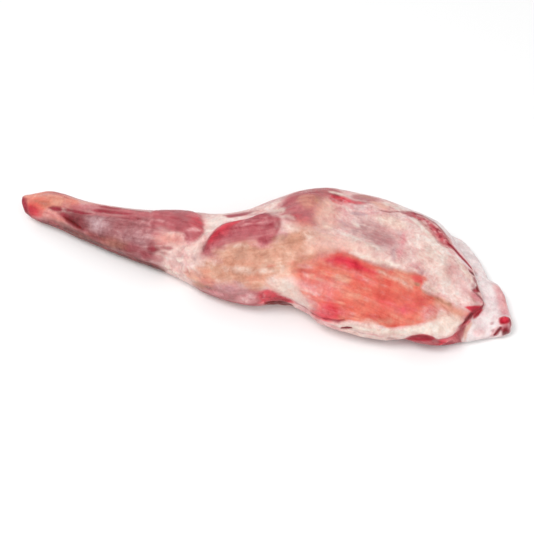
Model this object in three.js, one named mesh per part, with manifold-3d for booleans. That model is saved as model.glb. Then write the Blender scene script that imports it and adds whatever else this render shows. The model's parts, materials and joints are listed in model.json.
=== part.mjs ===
// A raw goat shoulder on the bone: the foreshank, the elbow, the upper arm and the flat blade end,
// lying on a table with the inner side up. It is one piece of meat, so it is one solid.
// Millimetres, +Z up. Lengths are measured from the sawn shank end along +X, and the near side is -Y.
import * as THREE from "three";
import { LoftGeometry } from "three/addons/geometries/LoftGeometry.js";
import { mergeVertices } from "three/addons/utils/BufferGeometryUtils.js";
import Module from "manifold-3d";

// Cross sections of the limb, from the shank end to the tip of the blade.
// at: distance along the limb. near, far: its two edges. crown: its height. sole: its underside.
const LIMB = [
  { at: 0, near: 14, far: 27, crown: 19, sole: 4 }, // sawn face of the shank
  { at: 3, near: 10, far: 31, crown: 22, sole: 3 },
  { at: 17, near: 6, far: 36, crown: 26, sole: 2 }, // knuckle
  { at: 37, near: 3, far: 36, crown: 29, sole: 2 },
  { at: 62, near: -3, far: 32, crown: 32, sole: 2 },
  { at: 87, near: -8, far: 31, crown: 36, sole: 1 },
  { at: 117, near: -13, far: 34, crown: 40, sole: 0 }, // belly of the shank muscles
  { at: 147, near: -17, far: 39, crown: 46, sole: -1 },
  { at: 169, near: -22, far: 41, crown: 51, sole: -2 },
  { at: 192, near: -30, far: 43, crown: 57, sole: -2 }, // elbow
  { at: 214, near: -34, far: 53, crown: 62, sole: -2 },
  { at: 235, near: -34, far: 71, crown: 66, sole: -2 }, // upper arm
  { at: 253, near: -30, far: 87, crown: 67, sole: -2 }, // point of the shoulder
  { at: 274, near: -25, far: 98, crown: 67, sole: -2 },
  { at: 287, near: -29, far: 101, crown: 65, sole: -2 },
  { at: 302, near: -36, far: 103, crown: 63, sole: -2 },
  { at: 327, near: -38, far: 105, crown: 60, sole: -2 }, // middle of the blade
  { at: 352, near: -35, far: 103, crown: 55, sole: -2 },
  { at: 377, near: -29, far: 101, crown: 47, sole: -1 },
  { at: 392, near: -29, far: 91, crown: 42, sole: 1 },
  { at: 409, near: -25, far: 73, crown: 36, sole: 4 },
  { at: 418, near: -19, far: 63, crown: 33, sole: 6 },
  { at: 424, near: -7, far: 51, crown: 31, sole: 8 },
  { at: 431, near: 9, far: 38, crown: 28, sole: 10 },
  { at: 437, near: 20, far: 26, crown: 24, sole: 13 }, // tip of the upper layer
];

// The pale under layer, which reaches past the cut edge of the blade.
const UNDER_LAYER = [
  { at: 352, near: 20, far: 80, crown: 14, sole: -1 },
  { at: 375, near: 2, far: 100, crown: 16, sole: -1 },
  { at: 395, near: -14, far: 103, crown: 17, sole: -1 },
  { at: 411, near: -18, far: 94, crown: 17, sole: -1 },
  { at: 424, near: -13, far: 79, crown: 17, sole: -1 },
  { at: 432, near: -9, far: 68, crown: 16, sole: -1 },
  { at: 439, near: -5, far: 63, crown: 16, sole: -1 },
  { at: 446, near: -1, far: 60, crown: 15, sole: -1 },
  { at: 453, near: 3, far: 49, crown: 14, sole: -1 },
  { at: 461, near: 8, far: 30, crown: 13, sole: 0 },
  { at: 466, near: 12, far: 21, crown: 10, sole: 2 },
];

// Muscles that stand up (rise above 0) and hollows between them (below 0) on the upper side.
// x, y: the middle. long, broad: half sizes. turn: degrees from +X towards +Y.
const SWELLS = [
  { x: 81, y: 20, long: 60, broad: 6, turn: 0, rise: 3 }, // tendon along the far side of the shank
  { x: 73, y: 10, long: 40, broad: 4, turn: 3, rise: -3 }, // groove beside that tendon
  { x: 101, y: -2, long: 42, broad: 11, turn: -6, rise: 3 }, // belly of the shank
  { x: 168, y: 7, long: 12, broad: 9, turn: 0, rise: 4 }, // end of the shank's upper muscle
  { x: 184, y: 2, long: 9, broad: 24, turn: 8, rise: -4 }, // hollow of the elbow
  { x: 221, y: 11, long: 32, broad: 12, turn: 32, rise: 6 }, // crescent muscle of the arm
  { x: 227, y: -22, long: 34, broad: 11, turn: 0, rise: 4 }, // near muscle of the arm
  { x: 260, y: 54, long: 22, broad: 24, turn: 20, rise: 5 }, // point of the shoulder
  { x: 244, y: 42, long: 20, broad: 5, turn: 40, rise: -4 }, // seam in front of it
  { x: 272, y: -18, long: 16, broad: 8, turn: -20, rise: -9 }, // pocket behind the arm
  { x: 311, y: 20, long: 50, broad: 7, turn: 10, rise: 4 }, // spine of the blade
  { x: 339, y: 52, long: 38, broad: 16, turn: 0, rise: -3 }, // hollow above the spine
  { x: 403, y: 36, long: 22, broad: 16, turn: -30, rise: 3 }, // end of the blade
];

// The same on the under layer.
const UNDER_SWELLS = [
  { x: 457, y: 16, long: 6, broad: 7, turn: 20, rise: 5 }, // knob of meat at the corner
  { x: 448, y: 8, long: 3, broad: 9, turn: 20, rise: -4 }, // slit beside the knob
  { x: 437, y: 34, long: 7, broad: 20, turn: 20, rise: 2 }, // fold along the outer edge
];

// The bare muscle of the blade, a little lower than the fat round it.
// edge: the share of its half size over which it slopes. square: how square its outline is.
const BARE_MUSCLE = { x: 348, y: -9, long: 68, broad: 23, turn: 6, depth: 4, edge: 0.25, square: 4 };

const ROUND_POINTS = 52; // points round a section
const RING_STEP = 5; // distance between sections
const UPPER_POWER = 2.3; // how square a section is above its edge
const LOWER_POWER = 3.2; // and below
const EDGE_SHARE = 0.42; // height of a section's widest place, as a share of its depth
const TABLE = { size: 1000, depth: 50 };
const WELD = 1e-3; // points closer than this are one

// The value of one measure at a distance along a row of sections, on a smooth cubic.
function measureAt(row, key, x) {
  const last = row.length - 1;
  let i = 0;
  while (i < last - 1 && x > row[i + 1].at) i += 1;
  const [a, b, c, d] = [Math.max(i - 1, 0), i, i + 1, Math.min(i + 2, last)].map((k) => row[k]);
  const span = c.at - b.at;
  const t = (x - b.at) / span;
  const enter = ((c[key] - a[key]) / (c.at - a.at)) * span;
  const leave = ((d[key] - b[key]) / (d.at - b.at)) * span;
  const ends = (1 + 2 * t) * (1 - t) ** 2 * b[key] + t * t * (3 - 2 * t) * c[key];
  return ends + t * (1 - t) ** 2 * enter + t * t * (t - 1) * leave;
}

// A place on the upper side, measured from the middle of a feature in its own half sizes.
function placeOn(feature, x, y) {
  const turn = THREE.MathUtils.degToRad(feature.turn);
  const [dx, dy] = [x - feature.x, y - feature.y];
  return {
    along: (dx * Math.cos(turn) + dy * Math.sin(turn)) / feature.long,
    across: (dy * Math.cos(turn) - dx * Math.sin(turn)) / feature.broad,
  };
}

// How far a row of swells lifts the upper side at a place.
function swellAt(swells, x, y) {
  let rise = 0;
  for (const swell of swells) {
    const { along, across } = placeOn(swell, x, y);
    rise += swell.rise * Math.exp(-(along ** 2) - across ** 2);
  }
  return rise;
}

// How far the upper side of the limb stands above or below the plain section.
function limbRelief(x, y) {
  const { along, across } = placeOn(BARE_MUSCLE, x, y);
  const { depth, edge, square } = BARE_MUSCLE;
  const reach = (Math.abs(along) ** square + Math.abs(across) ** square) ** (1 / square);
  const inside = 1 - THREE.MathUtils.smoothstep(reach, 1 - edge, 1 + edge);
  return swellAt(SWELLS, x, y) - depth * inside;
}

function underRelief(x, y) {
  return swellAt(UNDER_SWELLS, x, y);
}

// One closed cross section, counterclockwise as seen from the blade end.
function sectionAt(row, x, relief) {
  const [near, far, crown, sole] = ["near", "far", "crown", "sole"].map((key) => measureAt(row, key, x));
  const edge = sole + EDGE_SHARE * (crown - sole);
  const points = [];
  for (let i = 0; i < ROUND_POINTS; i += 1) {
    const angle = (i / ROUND_POINTS) * 2 * Math.PI;
    const power = 2 / (angle < Math.PI ? UPPER_POWER : LOWER_POWER);
    const side = Math.sign(Math.cos(angle)) * Math.abs(Math.cos(angle)) ** power;
    const lift = Math.abs(Math.sin(angle)) ** power;
    const y = (near + far) / 2 + (side * (far - near)) / 2;
    const upper = edge + (crown - edge) * lift + relief(x, y) * lift ** 2;
    points.push(new THREE.Vector3(x, y, angle < Math.PI ? upper : edge - (edge - sole) * lift));
  }
  return points;
}

// A closed loft through a row of sections.
function layer(row, relief) {
  const start = row[0].at;
  const length = row[row.length - 1].at - start;
  const places = row.map((section) => section.at);
  for (let x = start + RING_STEP; x < start + length; x += RING_STEP) {
    if (places.every((place) => Math.abs(place - x) > RING_STEP / 2)) places.push(x);
  }
  places.sort((a, b) => a - b);
  const sections = places.map((x) => sectionAt(row, x, relief));
  return new LoftGeometry(sections, { capStart: true, capEnd: true });
}

const wasm = await Module();
wasm.setup();

function solidOf(geometry) {
  const bare = new THREE.BufferGeometry();
  bare.setAttribute("position", geometry.getAttribute("position"));
  bare.setIndex(geometry.index);
  const merged = mergeVertices(bare, WELD);
  const vertProperties = merged.getAttribute("position").array;
  const triVerts = new Uint32Array(merged.index.array);
  return new wasm.Manifold(new wasm.Mesh({ numProp: 3, vertProperties, triVerts }));
}

function geometryOf(solid) {
  const { vertProperties, triVerts } = solid.getMesh();
  const geometry = new THREE.BufferGeometry();
  geometry.setAttribute("position", new THREE.BufferAttribute(vertProperties, 3));
  geometry.setIndex(new THREE.BufferAttribute(triVerts, 1));
  geometry.computeVertexNormals();
  return geometry;
}

// The table presses flat every place that would reach below it.
function tableTop() {
  const { size, depth } = TABLE;
  return new THREE.BoxGeometry(size, size, depth).translate(0, 0, -depth / 2);
}

function shoulderGeometry() {
  const limb = solidOf(layer(LIMB, limbRelief));
  const underLayer = solidOf(layer(UNDER_LAYER, underRelief));
  const geometry = geometryOf(limb.add(underLayer).subtract(solidOf(tableTop())));
  geometry.computeBoundingBox();
  const middle = geometry.boundingBox.getCenter(new THREE.Vector3());
  return geometry.translate(-middle.x, -middle.y, -geometry.boundingBox.min.z);
}

const meat = new THREE.MeshStandardMaterial({ color: 0xd98a80, roughness: 0.45, metalness: 0 });
const shoulder = new THREE.Mesh(shoulderGeometry(), meat);
shoulder.name = "shoulder";

const goatShoulder = new THREE.Group();
goatShoulder.add(shoulder);

export default goatShoulder;
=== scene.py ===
import bpy
import json
import math
import numpy as np
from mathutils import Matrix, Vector

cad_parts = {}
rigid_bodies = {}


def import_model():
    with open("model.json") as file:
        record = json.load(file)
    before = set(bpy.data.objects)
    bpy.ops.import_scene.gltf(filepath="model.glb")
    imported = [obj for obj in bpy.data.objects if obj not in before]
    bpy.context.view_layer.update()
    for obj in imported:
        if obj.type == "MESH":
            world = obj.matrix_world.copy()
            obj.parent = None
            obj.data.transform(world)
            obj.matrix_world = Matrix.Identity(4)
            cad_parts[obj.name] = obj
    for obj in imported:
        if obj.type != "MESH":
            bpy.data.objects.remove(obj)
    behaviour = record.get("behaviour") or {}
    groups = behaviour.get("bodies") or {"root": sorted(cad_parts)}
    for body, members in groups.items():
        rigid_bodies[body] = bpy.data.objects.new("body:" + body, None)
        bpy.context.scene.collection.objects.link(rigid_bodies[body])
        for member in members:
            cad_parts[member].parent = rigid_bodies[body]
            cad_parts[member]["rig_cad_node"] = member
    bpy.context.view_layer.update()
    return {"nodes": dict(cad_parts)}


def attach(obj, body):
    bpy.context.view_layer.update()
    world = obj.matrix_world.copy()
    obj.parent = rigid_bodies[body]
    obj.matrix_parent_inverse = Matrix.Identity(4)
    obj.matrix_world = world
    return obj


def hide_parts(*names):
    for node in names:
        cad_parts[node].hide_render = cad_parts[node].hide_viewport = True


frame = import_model()


# small helpers for operators
def deselectAll():
    bpy.ops.object.select_all(action="DESELECT")


def pickOnly(obj):
    deselectAll()
    obj.select_set(True)
    bpy.context.view_layer.objects.active = obj


def applyModifier(obj, kind, **settings):
    pickOnly(obj)
    mod = obj.modifiers.new(kind.title(), kind)
    for key, value in settings.items():
        setattr(mod, key, value)
    bpy.ops.object.modifier_apply(modifier=mod.name)


# camera, high in front, with the shank to the left
viewpoint = {
    "azimuth": 17.0,  # degrees round from straight in front
    "elevation": 52.0,
    "lens": 100.0,
    "sensor": 36.0,
    "distance": 1.323,
    "target": (0.011, -0.0315, 0.028),
}


def makeCamera(v):
    turn, lift = math.radians(v["azimuth"]), math.radians(v["elevation"])
    back = Vector((math.sin(turn) * math.cos(lift), -math.cos(turn) * math.cos(lift), math.sin(lift)))
    deselectAll()
    bpy.ops.object.camera_add(location=Vector(v["target"]) + back * v["distance"])
    camera = bpy.context.active_object
    camera.rotation_euler = (-back).to_track_quat("-Z", "Y").to_euler()
    camera.data.lens = v["lens"]
    camera.data.sensor_width = v["sensor"]
    bpy.context.scene.camera = camera


makeCamera(viewpoint)
print("camera set")

# the meat itself: a fine copy of the solid, which is then shaped
meatCut = {
    "name": "goatShoulderMeat",
    "weld": 0.00001,
    "voxel": 0.00122,
    "smooth": {"factor": 0.5, "iterations": 5},
}


def copySolid(cut):
    pickOnly(frame["nodes"]["shoulder"])
    bpy.ops.object.duplicate()
    meat = bpy.context.active_object
    meat.name = cut["name"]
    meat.data.name = cut["name"]
    del meat["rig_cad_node"]
    bpy.ops.object.parent_clear(type="CLEAR_KEEP_TRANSFORM")
    bpy.ops.object.mode_set(mode="EDIT")
    bpy.ops.mesh.select_all(action="SELECT")
    bpy.ops.mesh.remove_doubles(threshold=cut["weld"])
    bpy.ops.object.mode_set(mode="OBJECT")
    applyModifier(meat, "REMESH", mode="VOXEL", voxel_size=cut["voxel"])
    applyModifier(meat, "SMOOTH", **cut["smooth"])
    return meat


def readPoints(mesh):
    co = np.empty(len(mesh.vertices) * 3)
    mesh.vertices.foreach_get("co", co)
    return co.reshape(-1, 3) * 1000.0  # millimetres


def writePoints(mesh, places):
    mesh.vertices.foreach_set("co", (places / 1000.0).ravel())
    mesh.update()


def readNormals(mesh):
    normals = np.empty(len(mesh.vertices) * 3)
    mesh.vertex_normals.foreach_get("vector", normals)
    return normals.reshape(-1, 3)


def readEdges(mesh):
    ends = np.empty(len(mesh.edges) * 2, np.int32)
    mesh.edges.foreach_get("vertices", ends)
    return ends.reshape(-1, 2)


meat = copySolid(meatCut)
points = readPoints(meat.data)
edges = readEdges(meat.data)
print("copied the solid,", len(points), "points")


# blends and noise on arrays of places
def ease(value, low, high):
    t = np.clip((value - low) / (high - low), 0.0, 1.0)
    return t * t * (3.0 - 2.0 * t)


noiseKeys = {"axes": (374761393, 668265263, 1440662683), "seed": 974711, "mix": 1274126177}


def cloud(places, size, seed, layers=2):
    # soft noise from -1 to 1, each layer half as large and half as strong as the one before
    total, weight = 0.0, 0.0
    for layer in range(layers):
        grid = places / (size * 0.5**layer) + 31.7 * seed + 5.3 * layer
        cell = np.floor(grid).astype(np.int64)
        part = grid - cell
        part = part * part * (3.0 - 2.0 * part)
        value = 0.0
        for corner in np.ndindex(2, 2, 2):
            key = (cell + corner) @ np.array(noiseKeys["axes"]) + seed * noiseKeys["seed"]
            key = (key ^ (key >> 13)) * noiseKeys["mix"]
            key = (key ^ (key >> 16)) & 0xFFFF
            share = np.prod(np.where(corner, part, 1.0 - part), axis=1)
            value = value + share * (key / 32767.5 - 1.0)
        total = total + value * 0.5**layer
        weight += 0.5**layer
    return total / weight


def evenOut(values, turns):
    # average over neighbours on the mesh
    count = np.bincount(edges.ravel(), minlength=len(points))
    for _ in range(turns):
        sums = np.bincount(edges[:, 0], values[edges[:, 1]], len(points))
        sums += np.bincount(edges[:, 1], values[edges[:, 0]], len(points))
        values = 0.5 * values + 0.5 * sums / count
    return values


# the limb's own map: x along it, and degrees round it (0 far edge, 90 crown, 180 near edge, 270 beneath)
limbMap = {
    "step": 2.0,  # between the sections that are measured
    "reach": 4.0,
    "from": -232.0,
    "to": 206.0,
    "blur": 1.8,  # the sections are evened out over this many, and over no more than blurReach
    "blurReach": 4,
    "layerTop": 18.0,  # the thin layer under the blade is lower than this
    "layerFrom": 120.0,
    "edgeShare": 0.42,  # height of the widest place
    "topSide": (3.0, 6.0),  # marks on the plan fade out below this height
}


def measureSections(solid, m):
    stations = np.arange(m["from"], m["to"], m["step"])
    rows = []
    for x in stations:
        beside = np.abs(solid[:, 0] - x) < m["reach"]
        limb = (solid[:, 2] > m["layerTop"]) | (solid[:, 0] < m["layerFrom"])
        part = solid[beside & limb]
        rows.append((part[:, 1].min(), part[:, 1].max(), part[:, 2].max()))
    reach = m["blurReach"]
    kernel = np.exp(-0.5 * (np.arange(-reach, reach + 1) / m["blur"]) ** 2)
    kernel /= kernel.sum()
    rows = np.pad(np.array(rows), ((reach, reach), (0, 0)), mode="edge")
    near, far, crown = (np.convolve(rows[:, k], kernel, mode="valid") for k in range(3))
    return {"x": stations, "near": near, "far": far, "crown": crown}


sections = measureSections(readPoints(frame["nodes"]["shoulder"].data), limbMap)


def sectionAt(x):
    return (np.interp(x, sections["x"], sections[key]) for key in ("near", "far", "crown"))


def degreesRound(places):
    near, far, crown = sectionAt(places[:, 0])
    edge = limbMap["edgeShare"] * crown
    side = (places[:, 1] - (near + far) / 2) / ((far - near) / 2)
    above = places[:, 2] - edge
    lift = np.where(above > 0, above / (crown - edge), above / edge)
    angle = np.degrees(np.arctan2(lift, side))
    return np.where(angle > -90.0, angle, angle + 360.0)


def girthScale(x):
    near, far, crown = sectionAt(x)
    half, high = (far - near) / 2, crown * (1 - limbMap["edgeShare"])
    return np.pi / 180.0 * np.sqrt((half**2 + high**2) / 2)  # millimetres for one degree


def unroll(x, degrees):
    return np.stack([x, (90.0 - degrees) * girthScale(x)], axis=-1)


angle = degreesRound(points)
flat = unroll(points[:, 0], angle)
plan = points[:, :2]
topSide = ease(points[:, 2], *limbMap["topSide"])
print("mapped the limb")


# outlines and strokes on that map, on the plan, or in the solid's own millimetres
def closedCurve(corners, steps=6):
    p = np.array(corners, float)
    a, b, c, d = np.roll(p, 1, 0), p, np.roll(p, -1, 0), np.roll(p, -2, 0)
    t = np.arange(steps)[:, None, None] / steps
    curve = b + 0.5 * t * (c - a + t * (2 * a - 5 * b + 4 * c - d + t * (3 * (b - c) + d - a)))
    return curve.transpose(1, 0, 2).reshape(-1, p.shape[1])


def openCurve(corners, steps=6):
    p = np.array(corners, float)
    at = np.linspace(0, len(p) - 1, (len(p) - 1) * steps + 1)
    return np.stack([np.interp(at, np.arange(len(p)), p[:, k]) for k in range(p.shape[1])], axis=1)


def distanceToLine(places, start, end):
    best = np.full(len(places), 1e9)
    where = np.zeros(len(places))
    for i, (a, b) in enumerate(zip(start, end)):
        along = b - a
        t = np.clip(((places - a) @ along) / max(along @ along, 1e-9), 0.0, 1.0)
        gap = np.linalg.norm(places - a - t[:, None] * along, axis=1)
        closer = gap < best
        best = np.where(closer, gap, best)
        where = np.where(closer, i + t, where)
    return best, where


def insideOutline(places, curve):
    inside = np.zeros(len(places), bool)
    x, y = places.T
    for a, b in zip(curve, np.roll(curve, -1, 0)):
        if a[1] == b[1]:
            continue
        crosses = (a[1] > y) != (b[1] > y)
        inside ^= crosses & (x < (b[0] - a[0]) * (y - a[1]) / (b[1] - a[1]) + a[0])
    return inside


def closeTo(places, curve, margin):
    low, high = curve.min(0) - margin, curve.max(0) + margin
    return np.all((places > low) & (places < high), axis=1)


def onTheMap(curve, onMap):
    if onMap == "limb":
        return unroll(curve[:, 0], curve[:, 1]), flat, 1.0
    if onMap == "solid":
        return curve, points, 1.0
    return curve[:, :2], plan, topSide


# how marks are laid on, in millimetres
brush = {
    "reach": 16.0,  # a patch has no effect further outside its outline than this
    "strokeReach": 6.0,
    "leastBlur": 0.5,
    "wobble": 0.6,  # how far an outline strays, as a share of its softness
    "waver": 0.5,  # how uneven a stroke's width is
    "tip": 0.3,  # width of a stroke's ends, as a share of its width
    "lift": (-3.0, 5.0),  # a lifted patch rises over this depth
    "groove": 1.8,
    "lip": (-3.0, 2.2),  # depth of the lip, and its half width
    "waves": ((0.6, 7.0, 3, 3), (0.7, 20.0, 4, 2)),  # strength, size, seed and layers
}


def outlineDepth(corners, onMap, margin):
    # millimetres inside the outline, below 0 outside it, far below 0 out of reach, and the blur there
    rows = closedCurve(corners)
    curve, places, _ = onTheMap(rows, onMap)
    close = closeTo(places, curve, margin)
    depth, blur = np.full(len(places), -1e3), np.ones(len(places))
    gap, where = distanceToLine(places[close], curve, np.roll(curve, -1, 0))
    depth[close] = np.where(insideOutline(places[close], curve), gap, -gap)
    blur[close] = np.interp(where, np.arange(len(rows) + 1), np.append(rows[:, 2], rows[0, 2]))
    return depth, np.maximum(blur, brush["leastBlur"])


# tissues in the order in which they lie over the plain fat
tissues = ("layer", "tallow", "mauve", "white", "sinew", "silver", "rose", "flesh", "crimson",
           "membraneSheenAndShade", "peach", "olive", "blush", "cream", "plum", "paintedRecessShade", "bone")
muscles = ("mauve", "sinew", "silver", "rose", "flesh", "crimson")  # their borders are torn along the fibres
# borders that are less torn
washes = {"membraneSheenAndShade": 0.25, "peach": 0.5, "olive": 0.5, "blush": 0.5, "cream": 0.5, "plum": 0.5}
paint = {name: np.zeros(len(points)) for name in tissues}
rise = np.zeros(len(points))
wave = sum(strength * cloud(points, *rest) for strength, *rest in brush["waves"])


def layOn(name, amount):
    paint[name] = np.maximum(paint[name], amount)


def wipeOff(amount, names=tissues):
    for name in names:
        paint[name] *= 1.0 - amount


def speckle(name, amount, places, size, seed, low, high):
    layOn(name, amount * ease(cloud(places, size, seed), low, high))


def patch(tissue, corners, level=1.0, soft=3.5, wobble=None, lift=0.0, groove=0.0, lip=0.0, onMap="limb"):
    # level is how much of it shows; a corner's third number is its own softness
    rows = [(*corner, soft)[:3] for corner in corners]
    depth, blur = outlineDepth(rows, onMap, brush["reach"])
    depth = depth + (brush["wobble"] * soft if wobble is None else wobble) * wave
    shows = 1.0 if onMap == "limb" else topSide
    amount = ease(depth, -blur, blur) * shows
    layOn(tissue, level * amount)
    lipDepth, lipHalf = brush["lip"]
    rise[:] += shows * lift * ease(depth, *brush["lift"])
    rise[:] -= shows * groove * np.exp(-((depth / brush["groove"]) ** 2))
    rise[:] += shows * lip * np.exp(-(((depth - lipDepth) / lipHalf) ** 2))
    return amount


def spot(tissue, middle, half, level, soft):
    # a patch with four corners
    (x, degrees), (along, about) = middle, half
    corners = [(x - along, degrees), (x, degrees - about), (x + along, degrees), (x, degrees + about)]
    patch(tissue, corners, level, soft)


def stroke(tissue, corners, width, level=1.0, soft=1.0, cut=0.0, onMap="limb", taper=0.25):
    # corners with three numbers are places in the solid
    curve, places, shows = onTheMap(openCurve(corners), "solid" if len(corners[0]) == 3 else onMap)
    close = closeTo(places, curve, width + brush["strokeReach"])
    gap, where = distanceToLine(places[close], curve[:-1], curve[1:])
    where = where / (len(curve) - 1)
    ends = ease(np.minimum(where, 1.0 - where), 0.0, taper)
    half = width / 2 * (brush["tip"] + (1.0 - brush["tip"]) * ends) * (1.0 + brush["waver"] * wave[close])
    amount = np.zeros(len(places))
    amount[close] = ease(half + soft - gap, 0.0, 2 * soft)
    amount *= shows
    layOn(tissue, level * amount)
    rise[:] -= cut * amount


# foreshank: the belly of its muscles, silverskin below them and tendons along the far side
patch("rose", [(-206, 60), (-184, 54), (-130, 56), (-100, 50), (-92, 20), (-130, 0), (-200, 10)], 0.75, 5)
patch("mauve", [(-190, 130), (-170, 104), (-150, 94), (-108, 82), (-92, 96, 7), (-88, 126, 8),
    (-88, 160, 6), (-98, 190), (-126, 190), (-150, 184), (-168, 172), (-184, 152)], 1, 3, lift=0.8)
patch("silver", [(-212, 178), (-184, 160), (-146, 170), (-108, 182), (-80, 200), (-84, 232), (-120, 240),
    (-170, 236), (-214, 226)], 1, 4)
patch("silver", [(-190, 130), (-176, 112), (-164, 106), (-154, 140), (-164, 158), (-176, 150)], 0.5, 7)
patch("plum", [(-190, 134), (-168, 112), (-160, 130), (-164, 152), (-180, 146)], 0.3, 5)
# painted sheen on the belly of the shank muscles
patch("membraneSheenAndShade", [(-162, 122), (-154, 106), (-142, 112), (-138, 130), (-148, 146)], 0.85, 9)
patch("plum", [(-134, 108), (-116, 98), (-102, 104), (-104, 118), (-126, 124)], 0.16, 8)
patch("membraneSheenAndShade", [(-126, 138), (-112, 128), (-100, 132), (-104, 146), (-120, 148)], 0.3, 8)
patch("olive", [(-144, 162), (-134, 148), (-118, 152), (-124, 168), (-142, 170)], 0.6, 5)
patch("silver", [(-160, 158), (-150, 146), (-138, 148), (-142, 162), (-152, 166)], 1, 4)
patch("plum", [(-150, 158), (-140, 150), (-132, 152), (-140, 164)], 0.4, 4)
patch("plum", [(-157, 154), (-148, 146), (-141, 150), (-149, 158)], 0.4, 4)
patch("plum", [(-122, 156), (-112, 146), (-104, 152), (-110, 168), (-120, 166)], 0.5, 4)
patch("rose", [(-142, 184), (-120, 180), (-84, 194), (-90, 208), (-140, 202)], 0.12, 5)
patch("rose", [(-192, 100), (-174, 84), (-158, 66), (-116, 58), (-98, 56), (-94, 78), (-134, 84),
    (-152, 90), (-172, 100), (-186, 112)], 0.85, 3, lift=0.6)
patch("rose", [(-178, 98), (-160, 88), (-116, 77), (-114, 92), (-140, 97), (-176, 112)], 0.8, 3)
stroke("sinew", [(-188, 72), (-176, 66), (-150, 62)], 5, 0.6, 2.5)
stroke("blush", [(-176, 84), (-164, 80), (-152, 78)], 4, 0.3, 2.5)
stroke("plum", [(-166, 154), (-156, 157), (-124, 160), (-108, 157)], 5, 0.3, 3)
patch("silver", [(-150, 164), (-132, 154), (-114, 158), (-112, 170), (-136, 174)], 0.5, 5)
stroke("plum", [(-186, 180), (-168, 181), (-134, 194), (-98, 191), (-84, 196)], 9, 0.25, 4)
patch("mauve", [(-102, 178), (-86, 174), (-76, 188), (-82, 208), (-102, 206)], 0.7, 4)
stroke("plum", [(-160, 87), (-148, 82), (-122, 77)], 3.4, 0.85, 1.4, cut=0.6)
stroke("plum", [(-156, 71), (-134, 69)], 2.8, 0.6, 1.4)
# painted shade along the lower edge of the shank
stroke("plum", [(-204, 204), (-170, 208), (-86, 215)], 4, 0.7, 2)
patch("blush", [(-113, 96), (-106, 90), (-100, 95), (-106, 102)], 0.35, 4)
spot("plum", (-135, 152), (7, 5), 0.5, 4)
patch("membraneSheenAndShade", [(-133, 180), (-126, 175), (-119, 180), (-126, 186)], 0.3, 4)

# sawn end of the shank, with sinew over its knuckle
patch("sinew", [(-230, 112), (-228, 70), (-216, 40), (-196, 34), (-180, 48), (-174, 80), (-176, 96),
    (-190, 112), (-202, 122), (-208, 134), (-224, 132)], 1, 3, lift=0.3)
patch("rose", [(-230, 160), (-214, 154), (-188, 170), (-192, 212), (-230, 212)], 0.4, 5)
patch("flesh", [(-226, 124), (-218, 110), (-208, 116), (-204, 134), (-216, 168), (-224, 168)], 0.85, 4)
patch("crimson", [(-228, 144), (-222, 128), (-214, 134), (-210, 150), (-214, 168), (-224, 180)], 0.9, 6)
patch("plum", [(-226, 142), (-220, 132), (-214, 144), (-222, 170)], 0.35, 4)
stroke("plum", [(-232, 86), (-230, 116), (-226, 170), (-218, 190)], 6, 0.95, 2.5)
stroke("plum", [(-226, 176), (-216, 184), (-204, 186)], 4, 0.6, 2.5)
stroke("flesh", [(-222, 104), (-214, 104), (-210, 98)], 3.5, 0.6, 1.5)
patch("flesh", [(-216, 112), (-208, 104), (-200, 110), (-202, 124), (-212, 128)], 0.9, 3)
patch("olive", [(-214, 114), (-208, 108), (-202, 112), (-206, 124)], 0.7, 3)
patch("plum", [(-214, 116), (-208, 110), (-202, 114), (-206, 124)], 0.22, 3)
stroke("olive", [(-212, 108), (-206, 112), (-202, 120)], 3, 0.5, 1.5)
patch("olive", [(-220, 106), (-214, 104), (-216, 116)], 0.5, 1.5)
patch("peach", [(-206, 94), (-198, 84), (-192, 86), (-190, 106), (-200, 118)], 0.7, 3)
patch("peach", [(-188, 98), (-184, 90), (-180, 96), (-184, 106)], 0.4, 2.5)
stroke("membraneSheenAndShade", [(-214, 82), (-208, 70), (-200, 62)], 3, 0.5, 2)
stroke("plum", [(-202, 126), (-194, 122), (-188, 118)], 4.6, 0.95, 1.8)
stroke("plum", [(-188, 118), (-178, 109), (-160, 98)], 2.8, 0.8, cut=0.9)
patch("sinew", [(-210, 144), (-202, 134), (-192, 130), (-180, 148), (-188, 158), (-208, 162)], 0.9, 3.5)
patch("blush", [(-206, 146), (-198, 138), (-190, 138), (-188, 144), (-202, 154)], 0.4, 4)
stroke("blush", [(-186, 148), (-180, 153), (-170, 158)], 3.5, 0.3, 1.8)
patch("mauve", [(-196, 150), (-188, 144), (-180, 150), (-186, 158)], 0.6, 4)
patch("blush", [(-187, 171), (-178, 166), (-173, 172), (-181, 178)], 0.25, 4)
stroke("plum", [(-192, 132), (-182, 137), (-162, 154)], 7, 0.75, 3.5, cut=0.8)
stroke("plum", [(-188, 137), (-178, 142), (-162, 154)], 3, 0.95, 1.5, cut=0.9)
# painted shade in the cut across the knuckle
stroke("paintedRecessShade", [(-186, 139), (-176, 143), (-164, 152)], 4.6, 0.8, 1.5)
stroke("plum", [(-160, 158), (-148, 160), (-136, 164)], 6, 0.45, 3.5)
spot("plum", (-188, 152), (7, 5), 0.2, 4)
spot("plum", (-218, 165), (6, 7), 0.4, 4)

# end of the shank muscles at the elbow
patch("plum", [(-96, 148), (-90, 142), (-84, 146), (-90, 152)], 0.8, 2.8)
patch("plum", [(-88, 150), (-83, 146), (-79, 151), (-84, 156)], 0.4, 3)
patch("rose", [(-84, 151), (-79, 146), (-74, 151), (-79, 155)], 0.7, 3)
stroke("rose", [(-86, 141), (-78, 140), (-72, 140)], 5, 0.8, 2)
stroke("plum", [(-83, 141), (-78, 140), (-74, 141)], 4, 0.4, 2)
patch("plum", [(-104, 158), (-96, 158), (-94, 168), (-100, 176)], 0.55, 3)
patch("rose", [(-94, 162), (-86, 156), (-80, 160), (-82, 174), (-90, 176)], 0.65, 2.5)
stroke("mauve", [(-84, 150), (-76, 150), (-72, 154)], 3, 0.6, 1.5)
patch("rose", [(-94, 137), (-86, 132), (-78, 135), (-84, 142)], 0.6, 4)
spot("rose", (-88, 119), (6, 5), 0.5, 4)

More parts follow.
